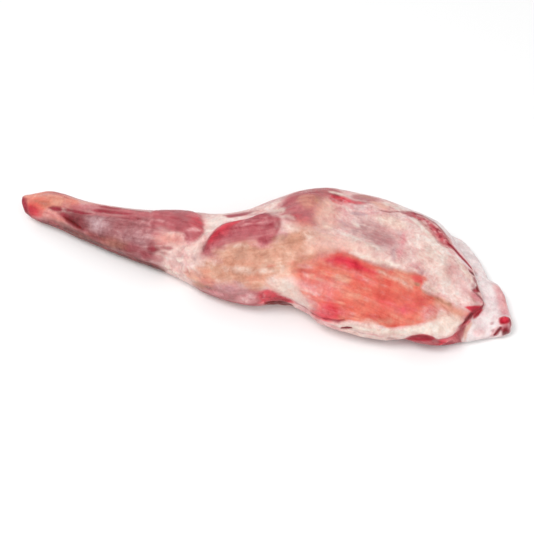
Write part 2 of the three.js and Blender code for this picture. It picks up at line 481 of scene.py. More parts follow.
# elbow: lumpy fat with a small muscle above it
elbowFat = patch("white", [(-84, 142), (-74, 126), (-62, 124), (-52, 114), (-48, 100), (-51, 80),
    (-47, 66), (-38, 54), (-32, 62), (-38, 84), (-44, 104), (-44, 124), (-38, 142, 7), (-38, 160, 7),
    (-48, 190), (-62, 206), (-76, 196), (-82, 170)], 0.95, lift=0.5)
patch("sinew", [(-87, 124, 8), (-82, 114), (-74, 113), (-64, 121), (-70, 132), (-82, 137)], 0.7, 7)
patch("peach", [(-85, 120), (-78, 115), (-70, 119), (-72, 129), (-82, 132)], 0.35, 6)
patch("blush", [(-84, 124), (-74, 122), (-66, 128), (-74, 136), (-84, 136)], 0.3, 6)
patch("olive", [(-80, 121), (-76, 120), (-76, 126)], 0.3, 2)
# small painted shadows between lumps of the elbow fat
patch("membraneSheenAndShade", [(-65, 150), (-61, 143), (-60, 150)], 0.5, 2)
patch("membraneSheenAndShade", [(-52, 136), (-48, 134), (-48, 140)], 0.55, 2)
patch("membraneSheenAndShade", [(-64, 130), (-60, 126), (-62, 134)], 0.35, 2)
patch("blush", [(-62, 124), (-58, 116), (-57, 122)], 0.7, 1.5)
patch("peach", [(-58, 172), (-50, 158), (-40, 162), (-44, 178), (-54, 184)], 0.8, 4)
patch("sinew", [(-46, 170), (-34, 164), (-26, 168), (-30, 178), (-42, 182)], 0.8, 4)
patch("olive", [(-50, 190), (-42, 180), (-26, 188), (-36, 198), (-46, 198)], 0.75, 4)
patch("plum", [(-46, 194), (-36, 188), (-28, 192), (-36, 200)], 0.15, 3.5)
patch("blush", [(-36, 194), (-24, 188), (-17, 197), (-28, 206)], 0.75, 4)
patch("rose", [(-106, 52, 6), (-94, 32), (-82, 26), (-70, 34), (-61, 50), (-55, 70), (-49, 90),
    (-51, 107), (-62, 120), (-66, 111), (-76, 109), (-90, 107, 6), (-102, 96, 8)], 0.95, 2.2, lift=0.9,
    groove=1.2)
patch("crimson", [(-70, 62), (-62, 58), (-54, 70), (-53, 84), (-60, 86)], 0.4, 6)
stroke("plum", [(-86, 77), (-76, 81), (-62, 95)], 3.4, 0.5, 1.5)
stroke("blush", [(-64, 106), (-58, 97), (-52, 94)], 3, 0.5, 1.5)
stroke("blush", [(-102, 89), (-92, 89), (-78, 96)], 3, 0.35, 1.5)
stroke("blush", [(-66, 111), (-60, 115), (-55, 113)], 2.6, 0.6)
patch("blush", [(-69, 60), (-63, 55), (-57, 61), (-63, 66)], 0.35, 4)
patch("cream", [(-84, 190), (-78, 185), (-72, 191), (-78, 197)], 0.35, 4)
spot("plum", (-35, 178), (7, 5), 0.25, 4)
patch("plum", [(-54, 138), (-48, 132), (-42, 136), (-47, 142)], 0.2, 4)

# upper arm: tan grainy fat below a crescent muscle
patch("tallow", [(-40, 136), (-28, 120), (-12, 110), (18, 114), (28, 104), (46, 102, 8), (58, 112, 9),
    (56, 134, 9), (42, 152), (26, 158), (12, 166), (-20, 172), (-38, 174), (-44, 154)], 1, 5)
patch("rose", [(-42, 126, 7), (-41, 101, 3), (-33, 81), (-22, 79), (-12, 81), (0, 72, 4), (10, 84, 5),
    (17, 92, 6), (18, 110, 6), (14, 115, 5), (-4, 112, 8), (-22, 117, 8), (-36, 129, 7)], 1, 2.6,
    wobble=3, lift=2, groove=0.4)
patch("rose", [(2, 112), (6, 106), (14, 107), (18, 112), (12, 119), (6, 118)], 1, 2.5, groove=0.5)
patch("plum", [(3, 111), (9, 109), (15, 112), (9, 116)], 0.35, 2.5)
stroke("plum", [(-40, 112), (-39, 99), (-30, 81), (-18, 81)], 2.2, 0.6, 1.4, cut=0.5)
patch("crimson", [(-40, 112), (-38, 96), (-32, 86), (-22, 82), (-14, 85), (-26, 101), (-36, 114)], 0.8, 5)
stroke("plum", [(13, 89), (17, 98), (17, 106)], 3.4, 0.55, 1.5)
stroke("blush", [(-20, 94), (4, 89)], 5, 0.45, 2.5)
stroke("blush", [(-2, 94), (12, 94)], 4, 0.4, 2.5)
stroke("plum", [(-14, 110), (-7, 108), (-1, 103)], 4, 0.3, 2)
patch("mauve", [(-46, 122), (-42, 114), (-28, 116), (-24, 124), (-34, 133), (-43, 132)], 1, 5)
patch("blush", [(-42, 124), (-36, 120), (-32, 124), (-34, 130), (-40, 130)], 0.2, 4)
stroke("blush", [(-3, 116), (7, 120), (17, 121)], 4, 0.5, 2)
stroke("rose", [(-36, 57), (-28, 58), (-9, 61)], 9, 0.95, 2.5)
stroke("plum", [(-34, 59), (-13, 63)], 2.8, 0.5, 1.5)
patch("olive", [(-14, 127), (-6, 124), (0, 130), (-8, 136)], 0.4, 4)
patch("olive", [(-33, 126), (-26, 123), (-22, 128), (-28, 132)], 0.6, 3.5)
patch("olive", [(3, 130), (10, 130), (11, 134), (5, 134)], 0.4, 3.5)
patch("olive", [(-19, 139), (-12, 139), (-13, 144), (-18, 144)], 0.3, 3.5)
patch("olive", [(-5, 148), (4, 146), (8, 149), (-1, 153)], 0.3, 3.5)
patch("olive", [(-34, 135), (-25, 131), (-18, 138), (-22, 150), (-32, 150)], 0.2, 6)
patch("cream", [(-42, 141), (-36, 137), (-32, 143), (-38, 149)], 0.25, 4)
patch("peach", [(-6, 134), (8, 128), (26, 126), (30, 134), (14, 142), (0, 144)], 0.5, 6)
patch("peach", [(-2, 156), (4, 148), (15, 142), (22, 147), (16, 158), (6, 164)], 0.7, 5)
patch("peach", [(-24, 142), (-14, 138), (-4, 142), (-6, 152), (-18, 154)], 0.5, 6)
patch("peach", [(-46, 151), (-36, 146), (-28, 154), (-37, 163)], 0.95, 4)
patch("olive", [(7, 139), (16, 136), (22, 140), (14, 145)], 0.35, 4)
patch("sinew", [(2, 157), (10, 151), (16, 157), (10, 166), (3, 166)], 0.6, 4)
stroke("sinew", [(8, 140), (15, 139), (23, 141)], 4, 0.9, 1.5)
stroke("cream", [(-22, 147), (-13, 148)], 5, 0.4, 3)
stroke("cream", [(-16, 146), (8, 147)], 7, 0.5, 3)
stroke("cream", [(-15, 119), (-11, 118), (-4, 119)], 3, 0.4, 2)
stroke("cream", [(10, 145), (24, 146)], 4, 0.5, 2.5)
patch("cream", [(22, 98), (27, 98), (36, 104), (34, 108), (25, 106)], 0.55, 3)
patch("blush", [(-35, 131), (-27, 132), (-22, 139), (-29, 142), (-36, 138)], 0.45, 4)
patch("cream", [(-15, 63), (-8, 58), (-2, 62), (-9, 67)], 0.45, 3.5)
spot("cream", (4, 59), (6, 5), 0.5, 4)
patch("plum", [(-20, 108), (-14, 104), (-9, 109), (-15, 113)], 0.35, 3)

# near side of the arm, and the pocket behind it
patch("mauve", [(-50, 194), (-34, 178), (-4, 168), (9, 171), (16, 182), (18, 214), (5, 226), (-20, 226),
    (-44, 222)], 0.7, 5, lift=0.5)
patch("rose", [(-30, 188), (-14, 184), (4, 180), (14, 186), (14, 222), (-10, 226), (-30, 222)], 0.6, 6)
patch("blush", [(-25, 168), (-14, 163), (-5, 165), (-2, 176), (-11, 186), (-21, 183)], 0.4, 6)
# painted sheen on the near side of the arm
patch("membraneSheenAndShade", [(-16, 174), (-10, 170), (-7, 176), (-14, 182)], 0.6, 2)
patch("membraneSheenAndShade", [(-10, 162), (-3, 163), (0, 168), (-6, 169)], 0.5, 2)
stroke("rose", [(-16, 192), (4, 188)], 6, 0.65, 2.5)
patch("sinew", [(4, 163), (11, 162), (14, 170), (8, 175)], 0.5, 3)
patch("blush", [(-5, 192), (2, 180), (10, 177), (14, 186), (10, 200), (-6, 205)], 0.65, 5)
# painted shade along the lower edge of the arm
stroke("plum", [(-46, 210), (-26, 215), (12, 214)], 4, 0.7, 2)
patch("white", [(20, 160), (22, 153), (34, 150), (54, 158), (64, 170), (56, 181), (45, 184), (34, 176)],
    1, 4, lift=1)
patch("cream", [(25, 158), (33, 157), (40, 163, 8), (46, 172, 8), (36, 176), (28, 166)], 0.85, 4)
patch("olive", [(36, 160), (44, 158), (50, 164), (44, 170), (37, 168)], 0.1, 4)
stroke("peach", [(18, 160), (26, 168), (36, 178)], 4, 0.5, 3)
patch("peach", [(26, 152), (33, 147), (38, 152), (31, 156)], 0.7, 3)
patch("olive", [(5, 167), (12, 161), (18, 167), (12, 173)], 0.5, 3)
pocket = patch("crimson", [(11, 182), (17, 172), (24, 171), (42, 187), (44, 196), (32, 205), (16, 205)],
    0.9, 4, lift=-1)
patch("rose", [(4, 176), (14, 172), (18, 190), (12, 210), (2, 206)], 0.7, 4)
patch("plum", [(26, 186), (33, 186), (42, 193), (34, 202), (22, 202)], 0.55, 4)
# painted shade in the pocket between the arm and the blade
patch("paintedRecessShade", [(19, 204), (30, 197), (38, 200), (43, 208), (38, 217), (22, 222)], 0.95, 1.8, lift=-1.6)
stroke("blush", [(34, 182), (43, 186), (54, 183)], 3, 0.75)
stroke("plum", [(46, 192), (56, 189), (66, 184), (77, 182), (87, 178), (93, 172)], 3.4, 0.85, 1.4, cut=0.8)
patch("blush", [(50, 196), (62, 190), (76, 188), (90, 196), (90, 216), (50, 220)], 0.75, 3.5)
patch("plum", [(-16, 174), (-10, 170), (-4, 174), (-10, 179)], 0.2, 4)
patch("cream", [(31, 178), (37, 174), (43, 178), (37, 183)], 0.5, 3)

# point of the shoulder and the far edge of the blade
patch("rose", [(11, 62), (19, 44), (32, 34), (50, 36), (58, 50), (46, 70), (44, 90), (30, 99), (11, 80)],
    0.85, 8)
patch("tallow", [(18, 52), (32, 44), (48, 46), (50, 62), (42, 78), (28, 80)], 0.7, 8)
patch("rose", [(14, 65), (17, 56), (26, 52), (25, 66), (29, 77), (23, 82), (16, 73)], 0.75, 5)
patch("rose", [(14, 82), (26, 78), (37, 81), (46, 89), (51, 97), (44, 101), (32, 97), (20, 92)], 0.82, 5)
patch("crimson", [(26, 88), (34, 90), (40, 93), (34, 96)], 0.3, 4)
patch("rose", [(50, 34), (66, 26), (92, 28), (112, 24), (110, 0), (40, 0), (0, 5), (0, 30), (26, 26)],
    0.5, 5)
stroke("plum", [(22, 86), (36, 90)], 3.4, 0.25, 3)
stroke("mauve", [(12, 69), (21, 63)], 6, 0.7, 3)
stroke("cream", [(16, 88), (22, 89), (28, 93)], 3, 0.6, 1.5)
stroke("cream", [(6, 69), (12, 75), (16, 82)], 5, 0.8, 2)
patch("plum", [(18, 90), (24, 86), (30, 90), (25, 94)], 0.35, 3)
patch("peach", [(20, 100), (30, 95), (46, 98), (48, 106), (34, 108)], 0.4, 5)
patch("peach", [(25, 65), (33, 62), (42, 67), (45, 75), (38, 82), (31, 79)], 0.6, 4)
patch("olive", [(35, 66), (41, 66), (44, 72), (40, 76)], 0.45, 2.5)
stroke("plum", [(30, 57), (40, 55)], 3, 0.4, 1.6, taper=0.1)
farCut = patch("crimson", [(49, 58), (54, 52), (64, 52), (68, 56), (60, 63), (52, 64)], 0.8, 2.5,
    lift=-0.5)
stroke("plum", [(50, 52), (57, 52)], 2.6, 0.8, 1.4)
stroke("rose", [(63, 55), (72, 54), (84, 48)], 5, 0.75, 2.5)
stroke("crimson", [(62, 56), (70, 55), (80, 50)], 3, 0.25, 2)
stroke("blush", [(56, 62), (64, 60), (72, 58)], 3, 0.7, 2)
stroke("cream", [(47, 50), (54, 48), (61, 48)], 5, 0.7, 1.5)
stroke("plum", [(49, 60), (53, 60)], 3, 0.4, 1.4)
stroke("plum", [(57, 58), (62, 57)], 2.6, 0.35, 1.4)
patch("rose", [(67, 42), (75, 34), (86, 33), (93, 38), (86, 46), (70, 50)], 0.75, 3.5)
stroke("olive", [(70, 41), (79, 38), (90, 38)], 4, 0.4, 2.5)
stroke("blush", [(88, 40), (98, 36), (108, 34)], 5, 0.4, 2.5)
patch("peach", [(86, 46), (93, 42), (101, 43), (101, 51), (93, 51)], 0.6, 3.5)
patch("cream", [(93, 40), (104, 30), (114, 30), (114, 42), (99, 45)], 0.4, 3)
stroke("plum", [(94, 54), (104, 52), (114, 44)], 2, 0.7, 1.2, cut=0.9)
patch("layer", [(108, 36), (128, 31), (139, 37), (159, 40), (168, 48), (178, 52), (186, 40), (180, 0),
    (150, -20), (108, -10)], 1, 2)

# blade: thin fell with a mauve muscle behind it, veins and pale strands
patch("peach", [(44, 84), (55, 78), (63, 82), (61, 95), (50, 100), (44, 92)], 0.45, 6)
patch("peach", [(40, 74), (46, 66), (56, 63), (62, 68), (62, 78), (54, 86), (44, 86)], 0.5, 6)
stroke("membraneSheenAndShade", [(46, 99), (54, 98), (63, 92)], 3, 0.75)
stroke("membraneSheenAndShade", [(48, 97), (51, 92), (56, 90)], 2.2, 0.55)
stroke("membraneSheenAndShade", [(71, 67), (78, 65), (86, 63)], 3, 0.8)
stroke("membraneSheenAndShade", [(59, 82), (67, 80), (75, 82)], 2.4, 0.45)
stroke("membraneSheenAndShade", [(54, 74), (59, 72), (64, 71)], 2.4, 0.5)
patch("rose", [(72, 78), (86, 70), (100, 67), (112, 66), (120, 72), (117, 91), (109, 96), (88, 90)], 0.34,
    7, wobble=5, lift=-0.5)
patch("mauve", [(70, 82), (82, 74), (106, 72), (113, 81), (105, 91), (84, 88)], 0.45, 7)
patch("rose", [(93, 74), (100, 70), (107, 73), (103, 82), (96, 82)], 0.5, 5)
patch("rose", [(96, 89), (104, 86), (114, 89), (106, 94)], 0.45, 4)
patch("cream", [(134, 60), (150, 62), (170, 70), (178, 90), (174, 106), (146, 98), (135, 84)], 0.6, 10)
stroke("membraneSheenAndShade", [(114, 68), (119, 69), (122, 72)], 4, 0.6, 2)
patch("cream", [(94, 61), (112, 56), (122, 61), (118, 67), (104, 66)], 0.85, 4)
stroke("cream", [(72, 92), (84, 93), (96, 97), (105, 97)], 4.5, 0.6, 3.5)
stroke("blush", [(69, 87), (81, 89), (93, 93)], 3, 0.35, 3)
stroke("blush", [(121, 68), (123, 79), (124, 100)], 4.5, 0.8, 2)
stroke("membraneSheenAndShade", [(118, 86), (118, 96), (122, 103)], 4, 0.65, 2)
stroke("cream", [(76, 76), (83, 78)], 3, 0.7, 1.5)
stroke("plum", [(97, 99), (104, 98)], 2, 0.25, 1.5)
patch("white", [(44, 113, 7), (56, 102), (71, 97), (102, 94), (130, 98), (142, 103), (126, 106),
    (95, 107), (83, 106), (66, 111), (54, 121, 7)], 0.85, 4, lift=1)
patch("peach", [(40, 122), (53, 112), (68, 106), (74, 108), (60, 118), (46, 129)], 0.6, 5)
patch("peach", [(36, 111), (50, 102), (66, 98), (84, 99), (98, 102), (84, 106), (54, 119), (42, 122)],
    0.35, 6)
patch("olive", [(26, 111), (38, 113), (42, 111), (41, 115), (33, 122), (28, 118)], 0.6, 3.5)
patch("olive", [(15, 113), (21, 108), (28, 110), (24, 116)], 0.6, 2.5)
patch("peach", [(28, 116), (38, 108), (52, 102), (68, 98), (66, 106), (52, 114), (40, 124), (30, 126)],
    0.5, 6)
patch("mauve", [(162, 80), (168, 69), (175, 74), (178, 86), (174, 95), (165, 92)], 0.65, 5)
patch("cream", [(171, 57), (184, 54), (189, 64), (178, 66)], 0.85, 4)
patch("plum", [(164, 80), (169, 70), (177, 77), (172, 93), (166, 91)], 0.13, 5)
patch("blush", [(164, 80), (170, 70), (180, 76), (182, 88), (172, 94)], 0.75, 5)
patch("olive", [(136, 85), (145, 77), (153, 76), (148, 86), (139, 90)], 0.28, 4)
patch("cream", [(133, 70), (142, 64), (153, 66), (152, 80), (139, 82)], 0.55, 5)
patch("blush", [(181, 84), (188, 80), (191, 92), (184, 98)], 0.45, 4)
patch("plum", [(180, 86), (186, 82), (190, 88), (185, 93)], 0.2, 3)
stroke("membraneSheenAndShade", [(161, 105), (165, 107), (165, 111)], 2.4, 0.3)
patch("cream", [(151, 109), (157, 106), (166, 109), (164, 115), (155, 115)], 0.75, 3)
stroke("blush", [(148, 91), (155, 91), (161, 96)], 4, 0.5, 2)
armEnd = [(39, 127), (45, 122), (51, 128), (45, 133)]
patch("peach", armEnd, 0.6, 4)
patch("plum", armEnd, 0.15, 4)
patch("cream", [(37, 106), (43, 102), (49, 107), (43, 112)], 0.4, 3.5)

# bare muscle of the blade, with a roll of fat along its near edge
patch("white", [(58, 174), (70, 186), (87, 180), (97, 173), (112, 170), (133, 171), (152, 157),
    (172, 137), (179, 132), (187, 139), (188, 152), (182, 161), (155, 171), (140, 196), (120, 212),
    (90, 212), (64, 208)], 1, 2, lift=1.4)
patch("flesh", [(39, 143, 13), (46, 133, 13), (57, 121, 9), (68, 112, 4), (76, 109), (100, 110),
    (127, 108), (148, 104), (152, 106), (149, 115), (152, 119), (161, 118), (169, 119), (184, 123, 4),
    (190, 130, 5), (184, 134, 5), (178, 132, 3), (173, 137), (155, 154), (134, 169), (124, 167),
    (112, 168), (99, 170), (89, 176), (78, 181, 3), (68, 174, 5), (61, 162, 11), (50, 154, 13)], 1, 1.8,
    wobble=1.5, lift=-0.8, groove=0.4, lip=0.8)
patch("tallow", [(34, 136), (44, 122), (60, 114), (66, 120), (56, 134), (44, 150), (36, 150)], 0.7, 9)
stroke("olive", [(79, 110), (115, 109)], 2.8, 0.4, 1.6)
stroke("olive", [(115, 109), (126, 108), (147, 105)], 2.4, 0.4, 1.4)
stroke("cream", [(83, 107), (110, 106), (125, 104)], 4, 0.75, 1.5)
patch("peach", [(109, 112), (120, 110), (132, 111), (143, 115), (139, 120), (115, 117)], 0.55, 3.5)
stroke("cream", [(112, 114), (126, 116), (141, 119)], 2.4, 0.4, 2)
patch("crimson", [(62, 119), (71, 111), (80, 110), (101, 113), (110, 117), (98, 122), (76, 122),
    (66, 124)], 1, 6)
patch("crimson", [(90, 127), (99, 122), (109, 124), (109, 129), (98, 130)], 0.45, 6)
stroke("crimson", [(78, 115), (90, 116), (101, 118), (112, 122)], 7, 0.75, 4)
patch("crimson", [(50, 142), (62, 136), (76, 140), (84, 148), (80, 158), (66, 164), (56, 160)], 0.25, 8)
patch("blush", [(58, 140), (70, 134), (82, 138), (80, 148), (66, 150)], 0.25, 8)
patch("crimson", [(112, 138), (130, 132), (150, 124), (158, 126), (150, 139), (138, 147), (126, 146)],
    0.4, 6)
patch("crimson", [(139, 108), (144, 105), (149, 106), (149, 111), (144, 114)], 0.5, 2)
patch("olive", [(143, 114), (147, 113), (147, 116), (144, 116)], 0.9, 1)
stroke("crimson", [(141, 133), (151, 128), (160, 120)], 4, 0.5, 2)
stroke("crimson", [(136, 140), (146, 136), (156, 130)], 4.4, 0.65, 2)
patch("crimson", [(130, 140), (140, 136), (150, 138), (144, 146), (134, 147)], 0.65, 5)
stroke("olive", [(148, 118), (157, 118), (167, 119), (177, 121)], 2.6, 0.6)
patch("peach", [(162, 118), (182, 119), (191, 128), (186, 134), (178, 131), (165, 146), (160, 146),
    (164, 132)], 1, 4)
patch("blush", [(156, 141), (161, 130), (172, 126), (178, 130), (168, 140), (160, 149)], 0.65, 4)
patch("peach", [(152, 120), (161, 119), (168, 120), (162, 125), (154, 125)], 0.4, 3)
patch("olive", [(174, 118), (177, 116), (178, 119), (175, 121)], 0.9, 1)
stroke("olive", [(38, 133), (45, 130), (55, 123)], 3.5, 0.5, 1.5)
stroke("plum", [(39, 147), (47, 141), (57, 137)], 4, 0.3, 1.5)
patch("blush", [(49, 152), (56, 147), (64, 148), (62, 154), (54, 157)], 0.4, 4)
stroke("plum", [(57, 129), (64, 126), (71, 126)], 4, 0.2, 2)
stroke("blush", [(42, 139), (48, 136), (55, 133)], 3, 0.55, 1.5)
stroke("sinew", [(40, 150), (50, 147), (62, 146)], 4, 0.7, 2)
stroke("blush", [(46, 156), (55, 153), (66, 153)], 5, 0.55, 2.5)
stroke("sinew", [(50, 162), (58, 159), (66, 160)], 4, 0.7, 2)
stroke("blush", [(54, 168), (62, 165), (70, 166)], 4, 0.55, 2)
stroke("cream", [(52, 158), (58, 156), (64, 156)], 2.6, 0.3, 1.5)
stroke("peach", [(42, 141), (48, 136), (54, 131)], 3, 0.8, 1.2)
stroke("peach", [(53, 144), (61, 140), (68, 138)], 2.6, 0.6, 1.2)
stroke("peach", [(49, 145), (54, 142), (58, 138)], 2.6, 0.6, 1.2)
patch("peach", [(72, 129), (81, 128), (92, 129), (86, 134), (74, 134)], 0.55, 3)
patch("peach", [(87, 142), (97, 138), (103, 141), (96, 147), (89, 147)], 0.4, 4)
patch("crimson", [(61, 182), (69, 164), (78, 156), (87, 160), (88, 172), (82, 184), (66, 192)], 0.85, 7)
stroke("crimson", [(76, 159), (76, 152), (74, 146)], 5, 0.5, 4)
patch("blush", [(64, 172), (72, 164), (80, 164), (80, 172), (70, 178)], 0.25, 5)
# pale fat along the roll, painted paler still as painted light on its near side
stroke("cream", [(96, 180), (120, 177), (140, 174), (156, 160), (170, 150)], 7, 0.85, 2.5, taper=0.1)
patch("cream", [(164, 156), (169, 143), (172, 131), (187, 130), (188, 142), (185, 152), (174, 160)], 0.85,
    3)
stroke("plum", [(91, 197), (95, 190), (100, 181)], 6.4, 0.95, 0.9, cut=1.8)
# painted shade at the darker end of the slit
stroke("paintedRecessShade", [(93, 193), (98, 183)], 3.4, 0.7)
# a broken line of painted shadow along the lower edge of the roll, where it meets the floor
stroke("membraneSheenAndShade", [(103, 190), (108, 193), (113, 192)], 3.4, 0.9)
stroke("blush", [(112, 192), (120, 189), (129, 191)], 3.4, 0.9)
stroke("membraneSheenAndShade", [(130, 193), (142, 196)], 3.4, 0.9)
stroke("plum", [(131, 191), (141, 194)], 2.6, 0.5)
patch("cream", [(134, 195), (144, 193), (147, 199), (139, 203)], 0.6, 3)
patch("cream", [(108, 168), (116, 163), (122, 168), (115, 173)], 0.55, 3.5)
stroke("blush", [(65, 193), (77, 195), (90, 194)], 4, 0.5, 2)
patch("plum", [(177, 119), (183, 115), (189, 120), (183, 124)], 0.2, 3)
spot("plum", (70, 122), (6, 5), 0.25, 3.5)
spot("blush", (92, 162), (6, 5), 0.4, 4)
patch("peach", [(120, 161), (128, 156), (136, 159), (128, 165)], 0.5, 3.5)

# dark meat below the roll of fat, round the corner of the blade
patch("rose", [(144, 202), (152, 184), (162, 172), (176, 172), (190, 180), (192, 240), (140, 240)], 0.9,
    2, lift=-0.6)
patch("sinew", [(168, 182), (178, 176), (188, 184), (188, 220), (168, 220)], 0.6, 4)
darkMeat = [(145, 206), (151, 178), (158, 166), (166, 165), (171, 170), (169, 181), (157, 191),
            (149, 205)]
patch("crimson", darkMeat, 0.9, 1.6)
patch("plum", darkMeat, 0.75, 1.2, lift=-1)
# painted shade along the crevice in the dark meat
stroke("paintedRecessShade", [(150, 184), (158, 172), (166, 171)], 3, 0.5, 1.5)
patch("rose", [(188, 147), (192, 152), (194, 181), (188, 213), (180, 215), (174, 177), (181, 167),
    (189, 160)], 0.95, 1.2, lift=-1)
patch("sinew", [(182, 172), (190, 164), (193, 182), (190, 204), (180, 204)], 0.8, 3)
patch("crimson", [(176, 178), (186, 168), (190, 176), (186, 196), (176, 200)], 0.8, 3)
patch("blush", [(182, 172), (189, 168), (192, 182), (188, 200), (180, 200)], 0.2, 3)
stroke("plum", [(170, 187), (179, 218), (189, 213)], 2.4, 0.5)
patch("plum", [(152, 168), (158, 163), (162, 167), (156, 172)], 0.35, 3)

# cut edge at the end of the blade
strip = patch("rose", [(113, 46), (127, 34), (135, 40), (145, 44), (159, 43), (164, 50), (157, 60),
    (151, 62), (139, 56), (126, 48)], 0.9, 1.4, lift=-0.9)
patch("crimson", [(124, 42), (136, 42), (146, 45), (154, 44), (160, 50), (154, 60), (142, 57), (132, 51)],
    0.35, 3)
stroke("plum", [(113, 44), (121, 36), (129, 33), (139, 39), (158, 42), (165, 50)], 3, 0.65, 1.4)
stroke("cream", [(124, 51), (139, 60), (152, 66)], 4, 0.8, 1.4)
patch("cream", [(124, 48), (132, 46), (143, 53), (141, 59), (129, 55)], 0.45, 2.5)
# specks in the cut meat: size, seed, and the noise where they begin and are full
cutSpecks = {"blush": (3.4, 51, 0.05, 0.45), "plum": (3.0, 52, 0.1, 0.45)}
for cutMeat, pale, dark in ((strip, 0.75, 0.75), (farCut, 0.8, 0.45), (pocket, 0.3, 0.4)):
    speckle("blush", pale * cutMeat, points, *cutSpecks["blush"])
    speckle("plum", dark * cutMeat, points, *cutSpecks["plum"])
print("painted the tissues")

# the thin layer below the blade, which reaches past the ragged cut edge
underLayer = {
    "seam": [(112, 66), (140, 62), (152, 48), (161, 36), (178, 25), (188, 20), (197, 1), (206, -9),
             (198, -25), (195, -34), (192, -54), (180, -75), (60, -90), (60, 80)],
    "seamBlur": 1.0,
    "reach": 60.0,
    "from": (118.0, 126.0),  # it begins here along x
    "top": (21.0, 27.0),  # and ends at this height
    "speckStretch": (0.5, 1.0, 1.0),
    "specks": {  # strength, size, seed, and the noise where they begin and are full
        "blush": (0.24, 9.0, 61, 0.0, 0.5),
        "membraneSheenAndShade": (0.26, 8.0, 62, 0.1, 0.5),
    },
    "step": {"at": (206, 27), "in": 4.0, "reach": 7.0},  # the outline steps in here
}
seamBlur = underLayer["seamBlur"]
seam = [(*corner, seamBlur) for corner in underLayer["seam"]]
seamDepth, _ = outlineDepth(seam, "plan", underLayer["reach"])
beyond = ease(-seamDepth, -seamBlur, seamBlur) * ease(points[:, 0], *underLayer["from"])
beyond *= 1.0 - ease(points[:, 2], *underLayer["top"])
wipeOff(beyond)
layOn("layer", beyond)
for name, (level, *window) in underLayer["specks"].items():
    speckle(name, level * paint["layer"], points * underLayer["speckStretch"], *window)
stroke("blush", [(171, 37), (181, 31), (190, 26)], 6, 0.5, 3, onMap="plan")
# short cuts one after another along the ragged end, each at its own height
farSlit = [(160, 37, 37), (172, 29, 32), (181, 24, 30), (187, 20, 27)]
stroke("crimson", farSlit, 5, 0.6, 1.8, taper=0.1)
stroke("plum", farSlit, 3.4, 0.95, 1, cut=0.6, taper=0.1)
stroke("plum", [(184, 16, 31), (188, 15, 29), (191, 17, 25)], 4.2, 0.95, 1.2, cut=0.8)
# painted shade inside the cut
stroke("paintedRecessShade", [(187, 15, 29), (190, 16, 26)], 4, 0.8)
stroke("rose", [(191, 12, 27), (191, 4, 29)], 6, 0.9, 2)
stroke("plum", [(194, 5, 27), (197, 0, 26), (195, -3, 28), (191, -5, 31)], 4.4, 0.95, 1.2, cut=0.8)
# painted shade inside the cut
stroke("paintedRecessShade", [(196, 2, 27), (196, -2, 28)], 4.4, 0.8)
stroke("blush", [(189, -8, 32), (198, -11, 29), (205, -9, 24)], 6, 0.95, 1.5)
stroke("plum", [(191, -5, 31), (198, -7, 28), (206, -9, 23)], 2.6, 0.75, 1, cut=0.6, taper=0.1)
stroke("olive", [(187, -8, 33), (193, -12, 31), (198, -16, 28)], 2.2, 0.6)
stroke("plum", [(206, -9, 22), (204, -13, 21), (202, -17, 21)], 4, 0.95, 1.2, taper=0.1)
triangle = patch("crimson", [(190, -25), (196, -20), (204, -14), (199, -24)], 1, 0.8, wobble=0.3,
    onMap="plan")
wipeOff(triangle, ("blush", "peach", "membraneSheenAndShade"))
patch("plum", [(194, -22), (204, -14), (202, -20), (198, -25)], 0.5, 1.4, wobble=0.3, onMap="plan")
# painted shade in the corner of the triangle
patch("paintedRecessShade", [(197, -23), (203, -16), (201, -21)], 0.45, 1.4, wobble=0.3, onMap="plan")
wedge = [(199, -23, 22), (195, -30, 23), (192, -38, 22)]
stroke("crimson", wedge, 9, 0.8, 2.5)
stroke("plum", wedge, 6.4, 0.95, 1.5, cut=0.8)
# painted shade deep in the wedge
stroke("paintedRecessShade", wedge, 3.6, 0.8, 1.5)
stroke("crimson", [(197, -27, 19), (195, -34, 16)], 5, 0.6, 2)
stroke("plum", [(192, 2, 30), (191, -3, 32)], 4, 0.45, 2)
stroke("plum", [(187, 26, 18), (190, 22, 14)], 5, 0.35, 2)
stroke("blush", [(185, -43, 22), (191, -45, 20)], 7, 0.6, 2, taper=0.1)
stroke("peach", [(198, -28), (195, -38), (196, -45)], 2.4, 0.7, onMap="plan")
patch("blush", [(209, 20), (216, 20), (221, 13), (228, -9), (221, -13), (215, 1)], 0.85, 3.5, onMap="plan")
patch("peach", [(218, 10), (221, 13), (224, 2), (221, 0)], 0.7, 1.5, onMap="plan")
stroke("olive", [(211, 20), (217, 15), (222, 7)], 2.4, 0.5, onMap="plan")
patch("membraneSheenAndShade", [(199, -24), (208, -23), (212, -29), (203, -34)], 0.3, 4, onMap="plan")
patch("blush", [(201, -34), (208, -31), (211, -34), (204, -38)], 0.5, 3, onMap="plan")
knob = patch("crimson", [(220, -17), (228, -14), (230, -17), (227, -21), (222, -22)], 1, 1.2, lift=1.2,
    onMap="plan")
wipeOff(knob, ("blush", "peach", "membraneSheenAndShade"))
speckle("blush", 0.5 * knob, points, 2.6, 53, 0.1, 0.4)
speckle("plum", 0.5 * knob, points, 3.0, 54, 0.0, 0.4)
stroke("plum", [(220, -18), (223, -21), (226, -21)], 2, 0.6, onMap="plan")
stroke("plum", [(228, -14), (230, -17), (231, -20)], 2.4, 0.85, onMap="plan")
patch("rose", [(224, -23), (230, -20), (232, -22), (228, -26), (225, -26)], 0.9, 1.2, onMap="plan")
stroke("plum", [(225, -26), (228, -25), (231, -23)], 4, 0.8, onMap="plan")
# painted shade in the cut beside the knob
stroke("paintedRecessShade", [(226, -26), (230, -24)], 3, 0.5, onMap="plan")
stroke("plum", [(224, -24, 13), (222, -27, 10), (220, -31, 5)], 3.2, 0.95, cut=1.2, taper=0.1)
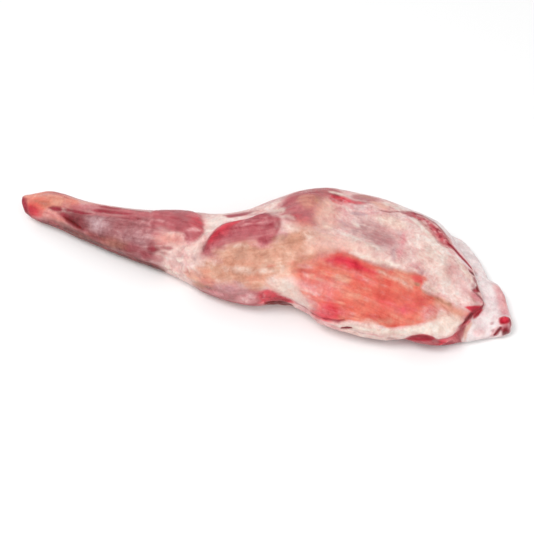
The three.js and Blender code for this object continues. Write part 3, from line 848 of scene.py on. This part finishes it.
# painted shade inside the cut below the knob
stroke("paintedRecessShade", [(223, -25, 12), (222, -27, 10), (220, -30, 6)], 2, 0.5, taper=0.1)
stroke("blush", [(221, -24), (219, -29), (217, -32)], 3, 0.6, onMap="plan")
patch("plum", [(214, -21), (216, -21), (216, -23), (214, -23)], 0.5, 1, onMap="plan")
patch("plum", [(216, -28), (218, -27), (218, -29), (216, -29)], 0.5, 1, onMap="plan")
print("laid the under layer")

# sides that face away: the same fell and fat, with muscle under it here and there
hiddenSides = {
    "far": (8.0, 34.0),  # degrees round
    "near": (206.0, 226.0),
    "stretch": (0.6, 1.0, 1.0),  # the windows in the fell are drawn out along the limb
    "windows": {  # strength, size, seed, and the noise where they begin and are full
        "mauve": (0.75, 34.0, 21, -0.05, 0.35),
        "rose": (0.7, 34.0, 21, 0.25, 0.55),
        "tallow": (0.7, 30.0, 22, 0.1, 0.5),
    },
}
hidden = np.maximum(1.0 - ease(angle, *hiddenSides["far"]), ease(angle, *hiddenSides["near"]))
hidden = hidden * (1.0 - beyond)
for name, (level, *window) in hiddenSides["windows"].items():
    speckle(name, level * hidden, points * hiddenSides["stretch"], *window)

# sawn face of the shank, with the bone in it
sawnEnd = {
    "x": -233.0,
    "face": (-232.2, -230.0),
    "colours": {"crimson": 0.8, "plum": 0.5},
    "bone": (-13.0, 11.5),
    "half": (6.5, 5.5),
    "boneRim": (0.85, 1.1),
    "squareTo": -227.0,  # from here to the end it is pulled out to a flat face
    "square": 0.7,
    "tiltTo": -218.0,
    "tilt": (2.8, 5.0, 19.0),  # the foot of the face lies this much further in, between these heights
    "lean": (1.4, 14.0, 20.0),  # its top lies further out
    "turn": (1.8, 10.0, 26.0),  # its near side lies further in
    "slimFrom": -206.0,  # from here to the end the far side and the top are a little slimmer
    "slimSide": (2.2, 40.0, 110.0),  # between these degrees round
    "slimTop": (1.2, 8.0, 20.0),
}
onEnd = 1.0 - ease(points[:, 0], *sawnEnd["face"])
fromBone = np.hypot((points[:, 1] - sawnEnd["bone"][0]) / sawnEnd["half"][0],
                    (points[:, 2] - sawnEnd["bone"][1]) / sawnEnd["half"][1])
for name, level in sawnEnd["colours"].items():
    layOn(name, level * onEnd)
layOn("bone", onEnd * (1.0 - ease(fromBone, *sawnEnd["boneRim"])))

# fibres run along the limb and bend a little
fibreRun = {"bend": 2.0, "size": 40.0, "seeds": (31, 32), "depth": 0.2}
bend = [cloud(points, fibreRun["size"], seed) for seed in fibreRun["seeds"]]
bend = np.stack([*bend, np.zeros(len(points))], axis=1)
grain = np.stack([flat[:, 0], flat[:, 1], points[:, 2] * fibreRun["depth"]], axis=1)
grain = grain + fibreRun["bend"] * bend

# short streaks of other colours in the bare muscle, most at its shank end
streaks = {
    "fewer": (80.0, 150.0),  # along x
    "fade": 0.7,
    "kinds": {  # strength, scale along and across the fibres, seed, and where they begin and are full
        "peach": (0.45, (0.08, 0.3, 0.3), 41, 0.1, 0.6),
        "blush": (0.4, (0.09, 0.34, 0.34), 42, 0.15, 0.6),
        "plum": (0.28, (0.08, 0.32, 0.32), 43, 0.15, 0.6),
    },
}
streaky = paint["flesh"] * (1.0 - paint["crimson"])
streaky = streaky * (1.0 - ease(points[:, 0], *streaks["fewer"]) * streaks["fade"])
for name, (level, scale, *window) in streaks["kinds"].items():
    speckle(name, level * streaky, grain * scale, 1.0, *window)

# grains of fat at the elbow
beads = {
    "height": 2.6,
    "size": 9.0,
    "seed": 19,
    "density": 1.6,
    "gap": 0.5,  # as a share of the size
    "uneven": 3.0,  # how far the grains are from round
    "unevenSize": 5.0,
    "unevenSeeds": (63, 64, 65),
    "pink": (0.4, 0.0, 0.6),  # strength of the painted shade in the gaps, and where it ends
    "pale": (0.55, 0.2, 0.9),  # strength on the grains, and where it begins
}


def beadsAt(places, b):
    # 1 at the middle of a grain, 0 in the gaps between them
    rng = np.random.default_rng(b["seed"])
    low, high = places.min(0), places.max(0)
    middles = rng.uniform(low, high, (int(np.prod((high - low) / b["size"]) * b["density"]) + 1, 3))
    first, second = np.full(len(places), 1e9), np.full(len(places), 1e9)
    for middle in middles:
        gap = np.linalg.norm(places - middle, axis=1)
        second = np.minimum(second, np.maximum(first, gap))
        first = np.minimum(first, gap)
    return ease(second - first, 0.0, b["gap"] * b["size"])


beadZone = patch("white", [(-78, 164), (-71, 147), (-60, 132), (-53, 138), (-50, 154), (-53, 172),
    (-60, 190), (-70, 206), (-82, 198)], 0.9, 5)
inZone = beadZone > 0.02
uneven = [cloud(points[inZone], beads["unevenSize"], seed) for seed in beads["unevenSeeds"]]
grains = np.zeros(len(points))
grains[inZone] = beadsAt(points[inZone] + beads["uneven"] * np.stack(uneven, axis=1), beads)
rise += beads["height"] * (grains - 0.5) * beadZone
# pink painted shade in the gaps between the grains
layOn("blush", beads["pink"][0] * beadZone * (1.0 - ease(grains, *beads["pink"][1:])))
layOn("cream", beads["pale"][0] * beadZone * ease(grains, *beads["pale"][1:]))

# relief: fibres along the meat, lumps in the fat, rough cut edges
relief = {
    "kinds": {  # height, size and seed
        "fibre": (0.35, 1.0, 11),
        "lumps": (1.2, 8.0, 12),
        "broad": (0.6, 26.0, 13),
        "fine": (0.2, 3.5, 14),
        "elbowLumps": (3.2, 10.0, 15),
        "roughCut": (0.8, 3.0, 16),
        "layer": (0.9, 9.0, 17),
        "wrinkles": (0.5, 1.0, 18),
    },
    "fibreScale": (0.07, 0.5, 0.3),  # along and across the fibres
    "wrinkleScale": (0.05, 0.16, 0.16),
    "layerScale": (1.0, 0.35, 1.0),
    "softMuscle": 0.8,  # how strong the fibres are in covered muscle
    "tallow": 0.8,  # how lumpy the tan fat is
    "sink": 0.3,  # all of it lies this much deeper than the solid
    "foot": (0.6, 3.0),  # no relief below the first height
    "nearSide": (178.0, 196.0),  # degrees round
    "nearFoot": (236.0, 256.0),
    "nearTrim": [(-220, -0.8), (-20, -0.8), (0, 0.0), (35, 0.0), (58, -1.5), (104, -1.5), (118, 0.0),
                 (130, 1.6), (144, 0.0), (164, 0.8), (178, 1.8), (194, 0.0)],  # x, and how far it goes out
    "hollowTurns": 6,
    "hollows": (0.12, 0.9),  # depth of a crease where its painted shade begins and is darkest
}


def ripples(kind, places, layers=2):
    height, size, seed = relief["kinds"][kind]
    return height * cloud(places, size, seed, layers)


def billows(kind, places):
    # round lumps with sharp valleys between them, level on the whole
    height, size, seed = relief["kinds"][kind]
    lumps = np.abs(cloud(places, size, seed))
    return height * (lumps - lumps.mean())


muscle = np.maximum(paint["flesh"], relief["softMuscle"] * np.maximum(paint["rose"], paint["mauve"]))
rise += ripples("fibre", grain * relief["fibreScale"], 3) * muscle
rise += billows("lumps", points) * np.maximum(paint["white"], relief["tallow"] * paint["tallow"])
rise += billows("wrinkles", grain * relief["wrinkleScale"]) * (1.0 - muscle)
rise += billows("elbowLumps", points) * elbowFat
rise += ripples("broad", points) + ripples("fine", points)
rise += ripples("roughCut", points) * np.maximum(strip, paint["paintedRecessShade"])
rise += ripples("layer", points * relief["layerScale"]) * beyond
rise -= relief["sink"]
nearSide = ease(angle, *relief["nearSide"]) * (1.0 - ease(angle, *relief["nearFoot"]))
rise += nearSide * np.interp(points[:, 0], *zip(*relief["nearTrim"]))
rise = evenOut(rise, 1)
normals = readNormals(meat.data)


def slide(key, values):
    amount, low, high = sawnEnd[key]
    return amount * ease(values, low, high)


# the sawn end is slimmed, squared and turned, then all of it is moved out or in
slimmed = 1.0 - ease(points[:, 0], sawnEnd["squareTo"], sawnEnd["slimFrom"])
points[:, 1] -= slimmed * (sawnEnd["slimSide"][0] - slide("slimSide", angle))
points[:, 2] -= slimmed * slide("slimTop", points[:, 2])
squared = 1.0 - ease(points[:, 0], sawnEnd["x"], sawnEnd["squareTo"])
points[:, 0] -= sawnEnd["square"] * squared * (points[:, 0] - sawnEnd["x"])
tilted = 1.0 - ease(points[:, 0], sawnEnd["x"], sawnEnd["tiltTo"])
points[:, 0] += tilted * (sawnEnd["tilt"][0] - slide("tilt", points[:, 2]))
points[:, 0] -= tilted * slide("lean", points[:, 2])
points[:, 0] += tilted * slide("turn", -points[:, 1])
step = underLayer["step"]
outwards = np.array(step["at"]) / np.hypot(*step["at"])
fromStep = np.linalg.norm(plan - step["at"], axis=1) / step["reach"]
stepIn = step["in"] * np.exp(-(fromStep**2)) * beyond
points += normals * (rise * ease(points[:, 2], *relief["foot"]))[:, None]
points[:, :2] -= stepIn[:, None] * outwards
points[:, 2] = np.maximum(points[:, 2], 0.0)
writePoints(meat.data, points)


def hollows(turns):
    # above 0 in creases, below 0 on ridges
    evened = np.stack([evenOut(points[:, k], turns) for k in range(3)], axis=1)
    return np.sum((evened - points) * readNormals(meat.data), axis=1)


def storeNumber(mesh, name, values):
    layer = mesh.attributes.new(name, "FLOAT", "POINT")
    layer.data.foreach_set("value", values.astype(np.float32))


def storeVector(mesh, name, values):
    layer = mesh.attributes.new(name, "FLOAT_VECTOR", "POINT")
    layer.data.foreach_set("vector", values.astype(np.float32).ravel())


for name in tissues:
    storeNumber(meat.data, name, np.clip(paint[name], 0.0, 1.0))
# the painted shade in the hollows is stored with the tissues
storeNumber(meat.data, "paintedCreaseShade", ease(hollows(relief["hollowTurns"]), *relief["hollows"]))
storeVector(meat.data, "grain", grain / 1000.0)
pickOnly(meat)
bpy.ops.object.shade_smooth()
print("shaped the relief,", len(meat.data.polygons), "faces")

# colours as they look under the studio light, from 0 to 255, and the pigment that gives them
studioTint = {"gain": 0.885, "haze": 0.014, "least": 0.0005}


def linear(colour):
    rgb = [c / 255.0 for c in colour]
    return [c / 12.92 if c <= 0.04045 else ((c + 0.055) / 1.055) ** 2.4 for c in rgb] + [1.0]


def pigment(colour):
    tint = studioTint
    return [max(c * tint["gain"] - tint["haze"], tint["least"]) for c in linear(colour)[:3]] + [1.0]


noiseSpan = (0.39, 0.61)  # where nearly all of a mixed noise lies


class NodeBench:
    def __init__(self, material):
        material.use_nodes = True
        self.tree = material.node_tree
        self.tree.nodes.clear()

    def add(self, kind, **values):
        node = self.tree.nodes.new(kind)
        for key, value in values.items():
            setattr(node, key, value)
        return node

    def join(self, source, target):
        self.tree.links.new(source, target)

    def put(self, value, socket):
        if isinstance(value, bpy.types.NodeSocket):
            self.join(value, socket)
        else:
            socket.default_value = value

    def fill(self, node, values):
        for name, value in values.items():
            self.put(value, node.inputs[name])

    def math(self, operation, a, b=0.0, clamp=False):
        node = self.add("ShaderNodeMath", operation=operation, use_clamp=clamp)
        self.put(a, node.inputs[0])
        self.put(b, node.inputs[1])
        return node.outputs[0]

    def total(self, shares):
        # a weighted sum of (weight, socket) pairs
        value = 0.0
        for weight, socket in shares:
            value = self.math("ADD", self.math("MULTIPLY", socket, weight), value)
        return value

    def number(self, name):
        return self.add("ShaderNodeAttribute", attribute_name=name).outputs["Fac"]

    def scaled(self, source, scale, shift=(0.0, 0.0, 0.0)):
        node = self.add("ShaderNodeMapping")
        self.fill(node, {"Vector": source, "Scale": scale, "Location": shift})
        return node.outputs["Vector"]

    def noise(self, source, scale, detail=3.0, rough=0.55, twist=0.0, kind="FBM"):
        node = self.add("ShaderNodeTexNoise", noise_type=kind)
        self.fill(node, {"Vector": source, "Scale": scale, "Detail": detail})
        self.fill(node, {"Roughness": rough, "Distortion": twist})
        return node.outputs["Fac"]

    def spread(self, source, low, high, to=(0.0, 1.0)):
        node = self.add("ShaderNodeMapRange", interpolation_type="SMOOTHSTEP")
        self.fill(node, {"Value": source, "From Min": low, "From Max": high})
        self.fill(node, {"To Min": to[0], "To Max": to[1]})
        return node.outputs["Result"]

    def ramp(self, source, colours):
        node = self.add("ShaderNodeValToRGB")
        self.join(source, node.inputs["Fac"])
        elements = node.color_ramp.elements
        while len(elements) < len(colours):
            elements.new(0.5)
        low, high = noiseSpan
        for i, colour in enumerate(colours):
            elements[i].position = low + (high - low) * i / (len(colours) - 1)
            elements[i].color = pigment(colour)
        return node.outputs["Color"]

    def blend(self, amount, under, over):
        node = self.add("ShaderNodeMix", data_type="RGBA")
        self.put(amount, node.inputs["Factor"])
        self.put(under, node.inputs[6])
        self.put(over, node.inputs[7])
        return node.outputs[2]

    def shade(self, colour, factor):
        node = self.add("ShaderNodeMix", data_type="RGBA", blend_type="MULTIPLY", clamp_result=True)
        node.inputs["Factor"].default_value = 1.0
        self.join(colour, node.inputs[6])
        self.join(factor, node.inputs[7])
        return node.outputs[2]

    def principled(self, values):
        shader = self.add("ShaderNodeBsdfPrincipled")
        self.fill(shader, values)
        output = self.add("ShaderNodeOutputMaterial")
        self.join(shader.outputs["BSDF"], output.inputs["Surface"])


# colours of each tissue, from its darkest to its palest places
tissueColours = {
    "fat": [(222, 164, 161), (235, 185, 180), (243, 204, 198), (248, 220, 214), (252, 234, 228)],
    "pinkFat": [(222, 148, 152), (232, 168, 170), (240, 188, 188), (248, 210, 208)],
    "layer": [(240, 208, 210), (247, 226, 226), (251, 237, 236), (253, 244, 242)],
    "tallow": [(196, 138, 116), (212, 154, 132), (222, 168, 146), (232, 184, 162), (242, 206, 188)],
    "mauve": [(136, 75, 78), (162, 99, 102), (184, 124, 126), (210, 158, 158)],
    "white": [(233, 188, 180), (243, 206, 197), (248, 220, 211), (250, 234, 226)],
    "sinew": [(204, 100, 90), (226, 136, 122), (236, 156, 140), (244, 190, 172)],
    "silver": [(68, 36, 34), (98, 56, 52), (126, 80, 72), (160, 114, 102)],
    "rose": [(154, 62, 72), (178, 86, 94), (192, 104, 110), (208, 132, 134)],
    "flesh": [(217, 91, 81), (229, 109, 95), (235, 124, 106), (238, 141, 121), (242, 164, 142)],
    "crimson": [(186, 28, 50), (219, 54, 72), (233, 76, 90), (239, 102, 112)],
    # pale membrane colour, also used for painted sheen and painted shade
    "membraneSheenAndShade": [(178, 134, 140), (198, 160, 164), (212, 180, 182), (226, 202, 202)],
    "peach": [(214, 138, 114), (230, 160, 138), (238, 178, 154), (246, 204, 182)],
    "olive": [(152, 98, 76), (178, 122, 98), (198, 144, 120), (214, 168, 144)],
    "blush": [(212, 124, 132), (228, 152, 156), (240, 180, 180), (248, 206, 204)],
    "cream": [(240, 206, 192), (247, 221, 207), (251, 234, 222), (253, 244, 236)],
    "plum": [(104, 8, 32), (140, 28, 48), (164, 52, 68), (188, 84, 94)],
    # painted shade for cuts, slits and the pocket
    "paintedRecessShade": [(86, 0, 6), (114, 0, 14), (142, 14, 26)],
    "bone": [(196, 150, 120), (232, 206, 180), (240, 222, 204)],
}
# single colours: pale threads and red flecks in the fat, and painted shade for the hollows
singleColours = {"strand": (252, 240, 232), "fleck": (200, 104, 110), "paintedCreaseShade": (120, 40, 46)}
# noises of the material: scale, detail, roughness and twist
roundNoises = {
    "broad": (45.0, 4.0, 0.6, 0.4),
    "mottle": (140.0, 4.0, 0.62, 0.5),
    "speck": (420.0, 3.0, 0.6),
    "fine": (1000.0, 2.0, 0.6),
}
# the same, drawn out along the fibres
drawnNoises = {
    "sweep": ((16.0, 110.0, 110.0), 5.0, 0.62, 0.6),
    "dash": ((70.0, 330.0, 330.0), 4.0, 0.6, 0.5),
    "streak": ((30.0, 420.0, 420.0), 4.0, 0.6, 0.4),
    "thread": ((90.0, 1100.0, 1100.0), 3.0, 0.6, 0.3),
    "web": ((40.0, 130.0, 130.0), 3.0, 0.5, 0.8, "RIDGED_MULTIFRACTAL"),
    "greys": ((42.0, 110.0, 110.0), 4.0, 0.62, 0.6),
}
# colours run in soft clouds, in grains or along fibres; borders are clouded or torn
noiseMixes = {
    "soft": {"broad": 0.4, "mottle": 0.35, "sweep": 0.1, "speck": 0.15},
    "grainy": {"broad": 0.5, "mottle": 0.35, "dash": 0.15},
    "fibrous": {"broad": 0.45, "mottle": 0.1, "sweep": 0.38, "dash": 0.07},
    "stringy": {"sweep": 0.45, "mottle": 0.3, "streak": 0.2, "thread": 0.05},
    "smooth": {"sweep": 0.5, "mottle": 0.35, "streak": 0.15},
    "clouded": {"sweep": 0.15, "mottle": 0.5, "broad": 0.35},
    "torn": {"sweep": 0.5, "mottle": 0.35, "broad": 0.15},
    "flecks": {"speck": 0.3, "mottle": 0.7},
    "bump": {"fine": 0.5, "thread": 0.4, "dash": 0.4, "speck": 0.5},
}
follows = {"tallow": "grainy", "olive": "grainy", "flesh": "fibrous", "peach": "fibrous",
           "crimson": "fibrous", "rose": "stringy", "mauve": "smooth", "silver": "smooth", "sinew": "smooth"}
meatFinish = {
    "roughness": (0.26, 0.48),
    "shader": {
        "Specular IOR Level": 0.14,
        "Coat Weight": 0.04,
        "Coat Roughness": 0.15,
        "Subsurface Weight": 0.06,
        "Subsurface Radius": (1.0, 0.35, 0.25),
        "Subsurface Scale": 0.003,
    },
    "bump": {"Strength": 0.5, "Distance": 0.0008},
    "ragged": 0.8,  # how torn the border between two tissues is
    "blushes": (0.7, 0.5, 0.63),  # pink places in the fat: strength, and where they begin and are full
    "blushScale": ((0.8, 1.0, 1.0), 72.0, 4.0, 0.62, 0.7),
    "membrane": (0.5, 0.53, 0.66),  # grey places in the fat
    "strands": (0.6, 0.9, 1.7),  # pale threads in the fat
    "flecks": (0.05, 0.57, 0.67),  # small red flecks
    "creaseShade": 0.35,  # how dark the painted shade in the hollows is
    "tone": (0.88, 1.08),  # darkest and lightest places
    "toneSpan": (0.38, 0.62),
    "toneShift": (0.37, 0.11, 0.23),
    "toneNoises": ((0.45, 75.0, 3.0, 0.6, 0.5), (0.35, 190.0, 3.0), (0.2, 430.0, 2.0)),  # share first
}


def makeMeatMaterial(colours, finish):
    material = bpy.data.materials.new("rawGoatMeat")
    bench = NodeBench(material)
    place = bench.add("ShaderNodeTexCoord").outputs["Object"]
    along = bench.add("ShaderNodeAttribute", attribute_name="grain").outputs["Vector"]
    noises = {name: bench.noise(place, *values) for name, values in roundNoises.items()}
    for name, (scale, *values) in drawnNoises.items():
        noises[name] = bench.noise(bench.scaled(along, scale), 1.0, *values)
    stretch, *values = finish["blushScale"]
    noises["blush"] = bench.noise(bench.scaled(place, stretch), *values)
    mixes = {}
    for name, mix in noiseMixes.items():
        mixes[name] = bench.total((weight, noises[key]) for key, weight in mix.items())
    soft = mixes["soft"]

    def spots(key, noise):
        strength, low, high = finish[key]
        return bench.math("MULTIPLY", bench.spread(noise, low, high), strength)

    # plain fat: blushes, grey membrane, pale strands and small red flecks
    colour = bench.ramp(soft, colours["fat"])
    colour = bench.blend(spots("blushes", noises["blush"]), colour, bench.ramp(soft, colours["pinkFat"]))
    colour = bench.blend(spots("membrane", noises["greys"]), colour, bench.ramp(soft, colours["membraneSheenAndShade"]))
    colour = bench.blend(spots("strands", noises["web"]), colour, pigment(singleColours["strand"]))
    colour = bench.blend(spots("flecks", mixes["flecks"]), colour, pigment(singleColours["fleck"]))
    # every tissue over it in turn, with a border that is uneven where it is half covered
    borders = {}
    for name in ("clouded", "torn"):
        centred = bench.math("SUBTRACT", mixes[name], 0.5)
        borders[name] = bench.math("MULTIPLY", centred, 4.0 * finish["ragged"])
    for name in tissues:
        amount = bench.number(name)
        edge = bench.math("MULTIPLY", amount, bench.math("SUBTRACT", 1.0, amount))
        edge = bench.math("MULTIPLY", edge, 4.0 * washes.get(name, 1.0))
        edge = bench.math("MULTIPLY", edge, borders["torn" if name in muscles else "clouded"])
        amount = bench.math("ADD", amount, edge, clamp=True)
        colour = bench.blend(amount, colour, bench.ramp(mixes[follows.get(name, "soft")], colours[name]))
    # painted shade darkens the hollows
    creaseShade = bench.math("MULTIPLY", bench.number("paintedCreaseShade"), finish["creaseShade"])
    colour = bench.blend(creaseShade, colour, pigment(singleColours["paintedCreaseShade"]))
    # lighter and darker places in every tissue alike
    shifted = bench.scaled(place, (1.0, 1.0, 1.0), finish["toneShift"])
    tone = bench.total((share, bench.noise(shifted, *values)) for share, *values in finish["toneNoises"])
    colour = bench.shade(colour, bench.spread(tone, *finish["toneSpan"], finish["tone"]))
    bump = bench.add("ShaderNodeBump")
    bench.fill(bump, {"Height": mixes["bump"], **finish["bump"]})
    roughness = bench.spread(soft, *noiseSpan, finish["roughness"])
    wired = {"Base Color": colour, "Roughness": roughness, "Normal": bump.outputs["Normal"]}
    bench.principled({**wired, **finish["shader"]})
    return material


meat.data.materials.clear()
meat.data.materials.append(makeMeatMaterial(tissueColours, meatFinish))
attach(meat, "root")
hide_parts("shoulder")
print("meat finished")

# floor and light
studio = {
    "floorSize": 8.0,
    "floorDrop": 0.0004,
    "floorColour": (248, 248, 248),
    "floorFinish": {"Roughness": 0.9, "Specular IOR Level": 0.1},
    "sky": 0.7,
    "lamps": {
        "keyLamp": {"place": (-0.5, -0.5, 1.6), "size": 0.9, "power": 13.0},
        "fillLamp": {"place": (0.9, -0.6, 1.2), "size": 1.2, "power": 4.0},
    },
}


def makeFloor(s):
    deselectAll()
    bpy.ops.mesh.primitive_plane_add(size=s["floorSize"], location=(0, 0, -s["floorDrop"]))
    floor = bpy.context.active_object
    floor.name = "paleFloor"
    bpy.ops.object.transform_apply(location=True)
    material = bpy.data.materials.new("paleFloor")
    NodeBench(material).principled({"Base Color": linear(s["floorColour"]), **s["floorFinish"]})
    floor.data.materials.append(material)


def makeLamp(name, lamp):
    deselectAll()
    place = Vector(lamp["place"])
    bpy.ops.object.light_add(type="AREA", location=place)
    light = bpy.context.active_object
    light.name = name
    light.rotation_euler = (-place).to_track_quat("-Z", "Y").to_euler()
    light.data.shape = "DISK"
    light.data.size = lamp["size"]
    light.data.energy = lamp["power"]


def makeSky(strength):
    world = bpy.data.worlds.new("studioSky")
    world.use_nodes = True
    background = world.node_tree.nodes["Background"]
    background.inputs["Color"].default_value = (1.0, 1.0, 1.0, 1.0)
    background.inputs["Strength"].default_value = strength
    bpy.context.scene.world = world


makeFloor(studio)
for name, lamp in studio["lamps"].items():
    makeLamp(name, lamp)
makeSky(studio["sky"])
bpy.context.scene.view_settings.view_transform = "Standard"
print("studio set")
